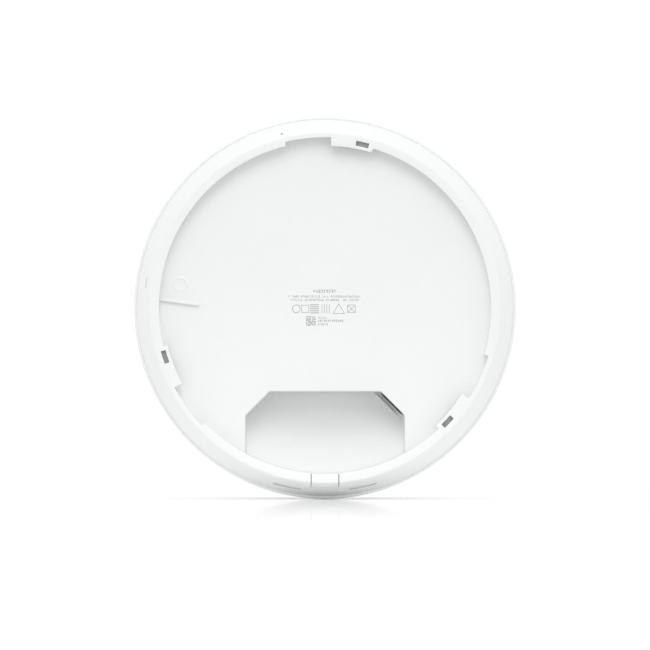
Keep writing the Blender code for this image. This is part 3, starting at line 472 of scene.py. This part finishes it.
# %% The bay's outline and its grid
BAY_HALF, BAY_TOP, BAY_CHAMFER, BAY_ARC = 43.0, -44.8, 13.1, 88.9
BAY_DEEP, RAMP_END, DRAFT, SOFT_CREASE = 24.0, 13.0, 0.8, 13.0
EDGE_ROUND, POLE_UP, OUTSIDE_RADIUS, SKIN = 0.4, -64.0, 92.0, 1.9
JACK_HALF, JACK_PUSH, RESET_PUSH = 8.4, 15, 6
RESET_X, RESET_DEPTH, RESET_HOLE = 16.0, 15.5, 1.6
CREASE = math.hypot(BAY_HALF - DRAFT, BAY_TOP - BAY_CHAMFER - DRAFT)
JACK_MIDDLE = np.array([BAY_HALF - BAY_CHAMFER / 2, BAY_TOP - BAY_CHAMFER / 2])
ALONG, INTO_WALL = np.array([1, -1]) / math.sqrt(2), np.array([1, 1]) / math.sqrt(2)


def bay_outline(count):
    """Evenly spaced points clockwise round the bay, the inward normal at each, and 1 where it is on the
    arc. A point's distance along the path is the running sum of |next - point|."""
    low = -math.sqrt(BAY_ARC**2 - BAY_HALF**2)
    side, top = BAY_TOP - BAY_CHAMFER, BAY_HALF - BAY_CHAMFER
    start = np.arctan2(low, BAY_HALF)
    sweep = start - np.linspace(0, 1, 60)[1:-1] * (np.pi + 2 * start)
    arc = BAY_ARC * np.stack([np.cos(sweep), np.sin(sweep)], axis=-1)
    left = [(-BAY_HALF, low), (-BAY_HALF, side), (-top, BAY_TOP)]
    corners = left + [(-x, up) for x, up in reversed(left)]
    every = np.concatenate([corners, arc])
    easing = np.concatenate([[0.7, 1.0, 1.0, 1.0, 1.0, 0.7], np.zeros(len(arc))])
    path = eased(every, easing, steps=4)
    path = path[np.linalg.norm(path - np.roll(path, 1, axis=0), axis=-1) > 1e-6]
    closed = np.concatenate([path, path[:1]])
    length = np.concatenate([[0], np.cumsum(np.linalg.norm(np.diff(closed, axis=0), axis=-1))])
    even = np.linspace(0, length[-1], count, endpoint=False)
    points = np.stack([np.interp(even, length, closed[:, i]) for i in (0, 1)], axis=-1)
    tangent = np.roll(points, -1, axis=0) - np.roll(points, 1, axis=0)
    tangent /= np.linalg.norm(tangent, axis=-1, keepdims=True)
    inward = np.stack([tangent[:, 1], -tangent[:, 0]], axis=-1)
    radius = np.linalg.norm(points, axis=-1)
    on_arc = soft_step((radius - BAY_ARC + 1.2) / 1.0) * (points[:, 1] < low + 0.5)
    return points, inward, on_arc


def bay_floor(point):
    """With p the way past the crease's radius and s its softness, the climb is 0 below -s, (p + s)^2 / 4s
    out to s, and p beyond. Depth = the bay's depth - slope * climb."""
    past = np.linalg.norm(point, axis=-1) - CREASE
    slope = (BAY_DEEP - RAMP_END) / (BAY_ARC - CREASE)
    curve = (past + SOFT_CREASE) ** 2 / (4 * SOFT_CREASE)
    climb = np.where(np.abs(past) < SOFT_CREASE, curve, np.maximum(past, 0))
    return BAY_DEEP - slope * climb


def bay_grid(count=900):
    """Rows from the floor's middle outwards, and back below. Each row is a plane position and a depth."""
    edge, inward, on_arc = bay_outline(count)
    draft = (DRAFT * (1 - on_arc))[:, None]
    foot = edge + draft * inward
    pole = np.broadcast_to([0.0, POLE_UP], edge.shape)
    low = -math.sqrt(BAY_ARC**2 - BAY_HALF**2)
    sides = math.pi - 2 * math.atan2(low, BAY_HALF)
    step = np.linalg.norm(np.roll(edge, -1, axis=0) - edge, axis=-1)
    travelled = np.cumsum(step * (on_arc < 0.5))
    swept = np.arctan2(low, -BAY_HALF) - sides * travelled / travelled[-1]
    straight = np.stack([np.cos(swept), np.sin(swept)], axis=-1)
    radial = edge / np.linalg.norm(edge, axis=-1, keepdims=True)
    outside = OUTSIDE_RADIUS * np.where((on_arc >= 0.5)[:, None], radial, straight)
    chamfer = np.abs((edge - JACK_MIDDLE) @ INTO_WALL) < 0.6
    window = soft_step((JACK_HALF - np.abs((edge - JACK_MIDDLE) @ ALONG)) / 0.3 + 0.5)
    window = np.where(chamfer, window, 0)[:, None]
    rows = [(foot + (pole - foot) * t, None) for t in np.linspace(1, 0, 24)]
    drop = bay_floor(foot) - POCKET_DEPTH
    aside = edge[:, 0] - RESET_X
    reset = soft_step((RESET_HOLE - np.abs(aside)) / 0.3 + 0.5) * (np.abs(edge[:, 1] - BAY_TOP) < 0.3)
    half = np.sqrt(np.maximum(RESET_HOLE**2 - aside**2, 0.02)) / drop
    level = (RESET_DEPTH - POCKET_DEPTH) / drop
    below, above = level + half, level - half
    hole = ((below + 0.006, 1, 0), (below, 1, 1), (above, 1, 1), (above - 0.006, 1, 0))
    wall = ((0.93, 0, 0), (0.922, 1, 0), *hole, (0.138, 1, 0), (0.13, 0, 0))
    for fraction, at_jack, at_reset in wall:
        fraction = np.broadcast_to(fraction, (count,))
        pushed = at_jack * JACK_PUSH * window + at_reset * RESET_PUSH * reset[:, None]
        rows.append((edge + (fraction[:, None] * draft - pushed) * inward, POCKET_DEPTH + fraction * drop))
    for turn in np.radians([0, 30, 60, 90]):
        back = EDGE_ROUND * (1 - np.cos(turn))
        rows.append((edge - back * inward, POCKET_DEPTH + EDGE_ROUND * (1 - np.sin(turn))))
    for t in (0.15, 0.5, 1.0):
        rows.append((edge - EDGE_ROUND * inward * (1 - t) + (outside - edge) * t, POCKET_DEPTH))
    rows.append((outside, POCKET_DEPTH + SKIN))
    rows.append((edge - 2.2 * inward, POCKET_DEPTH + SKIN))
    rows.append((edge - 1.6 * inward, bay_floor(foot) + 2))
    rows.append((pole, BAY_DEEP + 2))
    grid = []
    for place, depth in rows:
        depth = bay_floor(place) if depth is None else np.broadcast_to(depth, (count,))
        grid.append(np.stack([place[:, 0], depth, place[:, 1]], axis=-1))
    return np.stack(grid)


bay = bay_grid()
shell_skin = new_piece("rear_shell_moulding", [(ring, True, True), (bay, False, True)], white_casing)
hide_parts("rear_shell")

# %% [markdown]
# ## Small features of the pocket
#
# A latch on the bracket rides along a thin rib and drops into a shallow dimple, both near the release
# slot. The dimple's rim stands a quarter of a millimetre proud, where the pin that made it pushed the
# plastic up. A white sill crosses the bay in front of the network jack. The rib and the sill are short
# bars with rounded edges: a rounded rectangle carried along a straight path, with closed ends. The
# dimple is a small profile turned about its own axis.

# %% Bars and rings
def rounded_box(centre, size, turn=0.0, ease=0.25):
    """A box with eased edges. Rows are rounded rectangles in x and up, shrunk near the first and last
    depths, and the end rows close to a point. Centre and size are x, up and depth in millimetres, where
    the centre's depth is the near end; turn is in degrees."""
    width, height, deep = size
    ends = [(0, ease), (ease * 0.3, ease * 0.3), (ease, 0)]
    levels = ends + [(deep - depth, pull) for depth, pull in reversed(ends)]
    rows = []
    corner = np.array([(-1, -1), (1, -1), (1, 1), (-1, 1)], float)
    for depth, pull in [(0, None), *levels, (deep, None)]:
        half = np.array([width / 2 - (pull or 0), height / 2 - (pull or 0)])
        outline = eased(corner * half, ease, steps=4) * (pull is not None)
        rows.append(np.concatenate([outline, np.full((len(outline), 1), depth)], axis=-1))
    grid = np.stack(rows)
    c, s = math.cos(math.radians(turn)), math.sin(math.radians(turn))
    x, up = grid[..., 0] * c - grid[..., 1] * s, grid[..., 0] * s + grid[..., 1] * c
    return np.stack([x + centre[0], grid[..., 2] + centre[2], up + centre[1]], axis=-1)


def latch_point(out, aside):
    """A point this far out along the latch's radius, at 172 degrees, and this far aside."""
    a = math.radians(172)
    return out * math.cos(a) - aside * math.sin(a), out * math.sin(a) + aside * math.cos(a)


rib = rounded_box((*latch_point(78.6, 7.7), POCKET_DEPTH - 1.7), (22.4, 1.7, 2.3), 172, 0.3)
sill = rounded_box((*(JACK_MIDDLE - 3.2 * INTO_WALL), BAY_DEEP - 1.7), (19.6, 1.0, 2.2), -45, 0.25)
crater = [(0, -0.02), (3.0, -0.02), (3.15, -0.08), (3.2, -0.2), (3.3, -0.26), (3.5, -0.24), (4.6, 0.02)]
crater = np.array(crater + [(4.6, 0.3), (0, 0.3)])
dimple_x, dimple_up = latch_point(78.7, -1.6)
dimple = turned_grid(crater + [0, POCKET_DEPTH], 96) + np.array([dimple_x, 0, dimple_up])
small = [(rib, False, True), (sill, False, True), (dimple, True, True)]
details = new_piece("pocket_details", small, white_casing)

# %% [markdown]
# ## Painted shade at the ends of the tab slots
#
# Each tab has a narrow slot through it, for the tool that formed the undercut behind it. Looking in, one
# sees the dim space over the circuit board. A small grey block near the end of each slot is painted shade
# for that space, which costs far less than opening the ring there.

# %% Painted shade for the tab slots
shade_blocks = []
for turn in THIRDS + TAB_SLOT_ANGLE:
    a = math.radians(turn)
    shade_block = rounded_box((89.8 * math.cos(a), 89.8 * math.sin(a), 2.9), (6.5, 2.25, 1.3), turn + 90, 0.1)
    shade_blocks.append((shade_block, False, True))
# The grey plastic finish here is painted shade for the dim space beyond each slot, not a real part.
slot_shade_blocks = new_piece("tab_slot_painted_shade", shade_blocks, grey_plastic)

# %% [markdown]
# ## The cover over the cable exit
#
# The cover continues the rim and the band over the gap that a surface-run cable would use, and pulls out
# when one is needed. Its section is the ring's own corner, rounded the same way, and it is carried
# straight across, so its sides are parallel.

# %% The exit cover
def cover_grid():
    """Rows are the rounded section, columns the way across. The last column each side closes to a point."""
    base = EXIT_DEEP - 0.3
    section = np.array([(89.25, 0.0), (RIM_OUTER, 0.0), (RIM_OUTER + SLOPE * base, base), (89.25, base)])
    section = eased(section, np.array([0.35, 0.7, 0.2, 0.2]), steps=5)
    middle = section.mean(axis=0)
    half = EXIT_HALF - 0.32
    across = np.linspace(-half + 0.2, half - 0.2, 15)
    across = np.concatenate([[-half, -half, -half + 0.06], across, [half - 0.06, half, half]])
    shrink = np.concatenate([[0], [0.965], [0.99], np.ones(15), [0.99], [0.965], [0]])
    shape = middle + (section[:, None] - middle) * shrink[:, None]
    radius, depth = shape[..., 0], shape[..., 1]
    x = np.broadcast_to(across, radius.shape)
    return np.stack([x, depth, -np.sqrt(radius**2 - across**2)], axis=-1)


leg = rounded_box((0, -92.5, EXIT_DEEP - 1.0), (4.9, 1.4, 3.0), 0, 0.2)
plug = [(cover_grid(), True, False), (leg, False, True)]
exit_cover = new_piece("exit_cover_moulding", plug, white_casing, "exit_plug")
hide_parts("cable_exit_cover")

# %% [markdown]
# ## The domed front
#
# The front is a shallow pebble. A quarter of a superellipse turned about the axis gives its even curve
# from one formula, with no control points to balance. It overhangs the rear shell by a millimetre and a
# half, which shows from behind as a thin ring. A milky ring sits in a groove in its face.

# %% The dome and its light ring
DOME_RADIUS, TOTAL_DEPTH, DOME_WALL, RING_RADIUS = 103.0, 46.0, 2.2, 30.0


def pebble(radius, height, start, count):
    """r = R cos(t)^(2/2.6), depth = H sin(t)^(2/2.2), from the edge to the tip."""
    t = np.linspace(0, np.pi / 2, count)
    return np.stack([radius * np.cos(t) ** (2 / 2.6), start + height * np.sin(t) ** (2 / 2.2)], axis=-1)


def face_depth(radius):
    """Depth of the dome's face at a radius."""
    curve = pebble(DOME_RADIUS, TOTAL_DEPTH - SEAM_DEPTH, SEAM_DEPTH, 400)[::-1]
    return np.interp(radius, curve[:, 0], curve[:, 1])


def at_ring(steps):
    """Points this far out from the light ring's middle radius and this far above the dome's face."""
    return np.array([(RING_RADIUS + out, face_depth(RING_RADIUS + out) + lift) for out, lift in steps])


def dome_profile():
    """Lip, outside, tip, inside and rabbet, as one closed line with the ring's groove let in."""
    height = TOTAL_DEPTH - SEAM_DEPTH
    outside = pebble(DOME_RADIUS, height, SEAM_DEPTH, 90)
    inside = pebble(DOME_RADIUS - DOME_WALL - 0.6, height - DOME_WALL, SEAM_DEPTH, 50)[::-1]
    outside[-1, 0] = inside[0, 0] = 0
    inside = inside[inside[:, 1] > TONGUE_DEPTH + 1.3]
    outside = outside[outside[:, 1] > SEAM_DEPTH + 0.8]
    before, after = outside[outside[:, 0] > RING_RADIUS + 1.6], outside[outside[:, 0] < RING_RADIUS - 1.6]
    steps = [(1.25, 0), (1.05, -0.1), (1.0, -0.3), (1.0, -1.0)]
    steps += [(-out, sunk) for out, sunk in reversed(steps)]
    groove = at_ring(steps)
    lip = [(101.5, 0.12), (101.62, 0.03), (102.1, 0), (102.6, 0.04), (102.9, 0.22), (DOME_RADIUS, 0.6)]
    lip = np.array(lip) + [0, SEAM_DEPTH]
    rabbet = np.array([(inside[-1, 0] + 0.3, TONGUE_DEPTH + 0.3), (101.5, TONGUE_DEPTH + 0.3)])
    return np.concatenate([lip, before, groove, after, inside, rabbet])


profile = dome_profile()
dome = new_piece("front_dome_moulding", [(turned_grid(profile, 360), True, True)], dome_white)
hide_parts("front_dome")

section = at_ring([(0.93, -0.03), (-0.93, -0.03), (-0.93, -0.95), (0.93, -0.95)])
ring_section = eased(section, np.array([0.2, 0.2, 0.05, 0.05]), steps=4)
light_ring = new_piece("light_ring_insert", [(turned_grid(ring_section, 240), True, True)], milky)
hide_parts("indicator_ring")

# %% [markdown]
# ## The printed block
#
# A block of grey pad print sits in the middle of the pocket: a title and two lines of small type, a row
# of approval marks, and a square code with short lines beside it. Here it says nothing. The letters are
# random cells, the marks are plain figures and the code is random. Each mark is a film three hundredths
# of a millimetre thick, so that it has a real edge and needs no image.

# %% Marks from strokes
def block(x, up, width, height):
    """One rectangle, as its four corners."""
    return [(x + i * width / 2, up + j * height / 2) for i, j in ((-1, -1), (1, -1), (1, 1), (-1, 1))]


def stroke(start, end, line):
    """A straight stroke between two points, as its four corners."""
    start, end = np.array(start), np.array(end)
    along = (end - start) / np.linalg.norm(end - start) * line / 2
    aside = np.array([-along[1], along[0]])
    return [start - along - aside, end + along - aside, end + along + aside, start - along + aside]


def outline(x, up, size, sides, line=0.28, lean=0.0):
    """The edges of a regular figure of this many sides."""
    turn = np.radians(lean + np.arange(sides + 1) * 360 / sides)
    points = np.stack([x + size * np.cos(turn), up + size * np.sin(turn)], axis=-1)
    return [stroke(a, b, line) for a, b in zip(points[:-1], points[1:])]


def false_text(left, up, width, height, seed, gap_chance):
    """Letters that say nothing: each fills a random half of three by five cells, and some places are
    left empty."""
    random = np.random.default_rng(seed)
    cell = height / 5
    found = []
    for place in np.arange(left, left + width - 3 * cell, 4.1 * cell):
        letter = random.random((3, 5)) > 0.45
        if random.random() > gap_chance:
            for i, j in np.argwhere(letter):
                found.append(block(place + (i + 0.5) * cell, up + (j - 2) * cell, 0.97 * cell, 0.97 * cell))
    return found


def film(shapes):
    """A closed film for each four-cornered shape, from 0.01 mm inside the plastic to 0.02 mm above it."""
    shapes = np.asarray(shapes, float)
    middle = shapes.mean(axis=1, keepdims=True)
    levels = ((0, 0.01), (1, 0.01), (1, -0.02), (0, -0.02))
    rings = []
    for share, lift in levels:
        rings.append(np.insert(middle + (shapes - middle) * share, 1, POCKET_DEPTH + lift, axis=-1))
    return [(each, False, True) for each in np.stack(rings, axis=1)]


print("a stroke's corners:", np.round(stroke((0, 0), (3, 4), 0.4), 2).tolist())

# %% Set the block
# Each line of letters: left end, middle height, width, letter height, seed, share of gaps
LINES = (
    (-6.3, 8.9, 12.6, 1.7, 3, 0.05),
    (-19.5, 6.0, 39.0, 1.15, 5, 0.14),
    (-18.5, 4.1, 37.0, 1.15, 8, 0.14),
    (-3.8, -5.4, 6.0, 1.0, 30, 0.14),
    (-3.8, -7.1, 13.6, 1.3, 31, 0.02),
    (-3.8, -9.0, 6.0, 1.1, 32, 0.14),
)
text = [letter for line in LINES for letter in false_text(*line)]
marks = outline(-15.4, -0.6, 2.1, 20) + outline(-10.6, -0.6, 2.7, 4, lean=45)
marks += outline(7.4, -1.4, 3.5, 3, lean=90) + outline(14.2, -0.6, 2.9, 4, lean=45)
marks += [stroke((12.6, -2.2), (15.8, 1.0), 0.26), stroke((12.61, 1.0), (15.81, -2.2), 0.26)]
marks += [block(-5.6, -0.6 + step, 4.8, 0.45) for step in (-2.2, -1.1, 0, 1.1, 2.2)]
marks += [block(0.4 + step, -0.6, 0.3, 4.9) for step in (-2.0, -0.7, 0.6, 1.9)]
CODE_CELLS, CODE_CELL, CODE_DOT, CODE_LEFT, CODE_LOW = 17, 0.306, 0.297, -10.2, -9.7
code = []
for i, j in np.argwhere(np.random.default_rng(21).random((CODE_CELLS, CODE_CELLS)) > 0.42):
    x, up = CODE_LEFT + (i + 0.5) * CODE_CELL, CODE_LOW + (j + 0.5) * CODE_CELL
    code.append(block(x, up, CODE_DOT, CODE_DOT))
label = new_piece("pocket_print", film(text + marks + code), ink)

# %% [markdown]
# ## The floor
#
# The disc stands on its edge on a glossy white floor. Close to it the floor is a matt grey, darker than the
# glow around it, so that it takes a real contact shadow that is deepened with painted shadow. Further out
# it turns into an even glow, which hides the horizon. Over both lies a faint mirror that grows towards
# grazing angles, as on lacquer, and fades further out.

# %% A plain floor
FLOOR_REACH = 6.0
floor_level = cad_low[2] - 0.0001
corners = [(i * FLOOR_REACH, j * FLOOR_REACH, floor_level) for i, j in ((-1, -1), (1, -1), (1, 1), (-1, 1))]
sheet = bpy.data.meshes.new("floor")
sheet.from_pydata(corners, [], [(0, 1, 2, 3)])
floor = bpy.data.objects.new("floor", sheet)
bpy.context.scene.collection.objects.link(floor)
floor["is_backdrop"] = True
print("floor at", floor_level)

# %% The floor's surface
GLOW, FILL_NEAR, FILL_FAR = 1.05, 1.14, 0.66
# The matt floor at the disc's foot is grey rather than white: painted shadow that deepens the real contact
# shadow.
CONTACT_SHADOW_GREY, MIRROR_ROUGH = 0.68, 0.07


def is_seen(tree):
    """1 for camera and glossy rays, 0 for the rest."""
    ray = tree.nodes.new("ShaderNodeLightPath")
    return math_node(tree, "MAXIMUM", ray.outputs["Is Camera Ray"], ray.outputs["Is Glossy Ray"])


def mixed(tree, share, first, second):
    """A Mix Shader of two shader sockets."""
    node = tree.nodes.new("ShaderNodeMixShader")
    for socket, source in zip(node.inputs, (share, first, second)):
        tree.links.new(source, socket)
    return node.outputs[0]


lacquer = bpy.data.materials.new("lacquered_floor")
lacquer.use_nodes = True
tree = lacquer.node_tree
tree.nodes.clear()
# Grey matt at the disc's foot: it takes the real contact shadow, and its grey adds painted shadow.
matt = tree.nodes.new("ShaderNodeBsdfDiffuse")
matt.inputs["Color"].default_value = (*[CONTACT_SHADOW_GREY] * 3, 1)
spot = tree.nodes.new("ShaderNodeTexCoord")
squeeze = tree.nodes.new("ShaderNodeMapping")
squeeze.inputs["Location"].default_value = (0, -0.023, -floor_level)
squeeze.inputs["Scale"].default_value = (0.4, 1, 1)
tree.links.new(spot.outputs["Object"], squeeze.inputs["Vector"])
away = tree.nodes.new("ShaderNodeVectorMath")
away.operation = "LENGTH"
tree.links.new(squeeze.outputs["Vector"], away.inputs[0])
felt = spread(tree, away.outputs["Value"], (0.06, 0.25), (FILL_NEAR, FILL_FAR), smooth=True)
glow = tree.nodes.new("ShaderNodeEmission")
brighter = math_node(tree, "MULTIPLY", is_seen(tree), math_node(tree, "SUBTRACT", GLOW, felt))
tree.links.new(math_node(tree, "ADD", felt, brighter), glow.inputs["Strength"])
fade = spread(tree, away.outputs["Value"], (0.007, 0.040), (0, 1), smooth=True)
base = mixed(tree, fade, matt.outputs[0], glow.outputs[0])
mirror = tree.nodes.new("ShaderNodeBsdfGlossy")
mirror.inputs["Color"].default_value = (1, 1, 1, 1)
mirror.inputs["Roughness"].default_value = MIRROR_ROUGH
edge_on = tree.nodes.new("ShaderNodeFresnel")
edge_on.inputs["IOR"].default_value = 1.5
strength = spread(tree, away.outputs["Value"], (0.03, 0.5), (0.62, 0))
share = math_node(tree, "MULTIPLY", edge_on.outputs[0], strength)
surface = mixed(tree, share, base, mirror.outputs[0])
end = tree.nodes.new("ShaderNodeOutputMaterial")
tree.links.new(surface, end.inputs["Surface"])
sheet.materials.append(lacquer)
print("floor surface", len(tree.nodes), "nodes")

# %% [markdown]
# ## The room
#
# A white tent lights the disc from every side, a little more from below and from the two sides. One soft
# lamp above the camera gives the pocket's upper wall and the bay's top their shade. The tent itself is
# seen as plain white.

# %% The tent and the lamp
world = bpy.context.scene.world or bpy.data.worlds.new("tent")
bpy.context.scene.world = world
world.use_nodes = True
tree = world.node_tree
tree.nodes.clear()
direction = tree.nodes.new("ShaderNodeTexCoord")
split = tree.nodes.new("ShaderNodeSeparateXYZ")
tree.links.new(direction.outputs["Generated"], split.inputs[0])
level = spread(tree, split.outputs["Z"], (-1, 1), (1.22, 0.74))
square = math_node(tree, "MULTIPLY", split.outputs["X"], split.outputs["X"])
beside = math_node(tree, "MULTIPLY", square, 0.62)
tent = tree.nodes.new("ShaderNodeBackground")
tent.inputs["Color"].default_value = (1, 1, 1, 1)
tree.links.new(math_node(tree, "ADD", level, beside), tent.inputs["Strength"])
plain = tree.nodes.new("ShaderNodeBackground")
plain.inputs["Color"].default_value = (1, 1, 1, 1)
ray = tree.nodes.new("ShaderNodeLightPath")
tree.links.new(spread(tree, ray.outputs["Is Glossy Ray"], (0, 1), (GLOW, 0.94)), plain.inputs["Strength"])
end = tree.nodes.new("ShaderNodeOutputWorld")
tree.links.new(mixed(tree, is_seen(tree), tent.outputs[0], plain.outputs[0]), end.inputs["Surface"])


def softbox(name, place, size, power):
    """A square area lamp that faces the disc."""
    lamp = bpy.data.lights.new(name, "AREA")
    lamp.size, lamp.energy = size, power
    holder = bpy.data.objects.new(name, lamp)
    holder.location = place
    holder.rotation_euler = (-Vector(place)).to_track_quat("-Z", "Y").to_euler()
    bpy.context.scene.collection.objects.link(holder)


softbox("top_softbox", (0.0, -1.1, 1.1), 0.9, 7.5)
print("tent", world.name, "and one softbox")

# %% [markdown]
# ## The camera
#
# The disc is seen square on from behind, from three metres, through a long lens, so its circles stay
# circles. The Standard view keeps the whites as they are lit.

# %% The camera
CAMERA_LENS, CAMERA_AWAY, CAMERA_UP = 309.8, 3.0, -0.0093
camera = bpy.data.cameras.new("camera")
camera.lens = CAMERA_LENS
camera.clip_end = 100
camera_object = bpy.data.objects.new("camera", camera)
camera_object.location = (0, -CAMERA_AWAY, CAMERA_UP)
camera_object.rotation_euler = (math.pi / 2, 0, 0)
bpy.context.scene.collection.objects.link(camera_object)
bpy.context.scene.camera = camera_object
bpy.context.scene.view_settings.view_transform = "Standard"
print("camera at", tuple(camera_object.location), "lens", camera.lens)
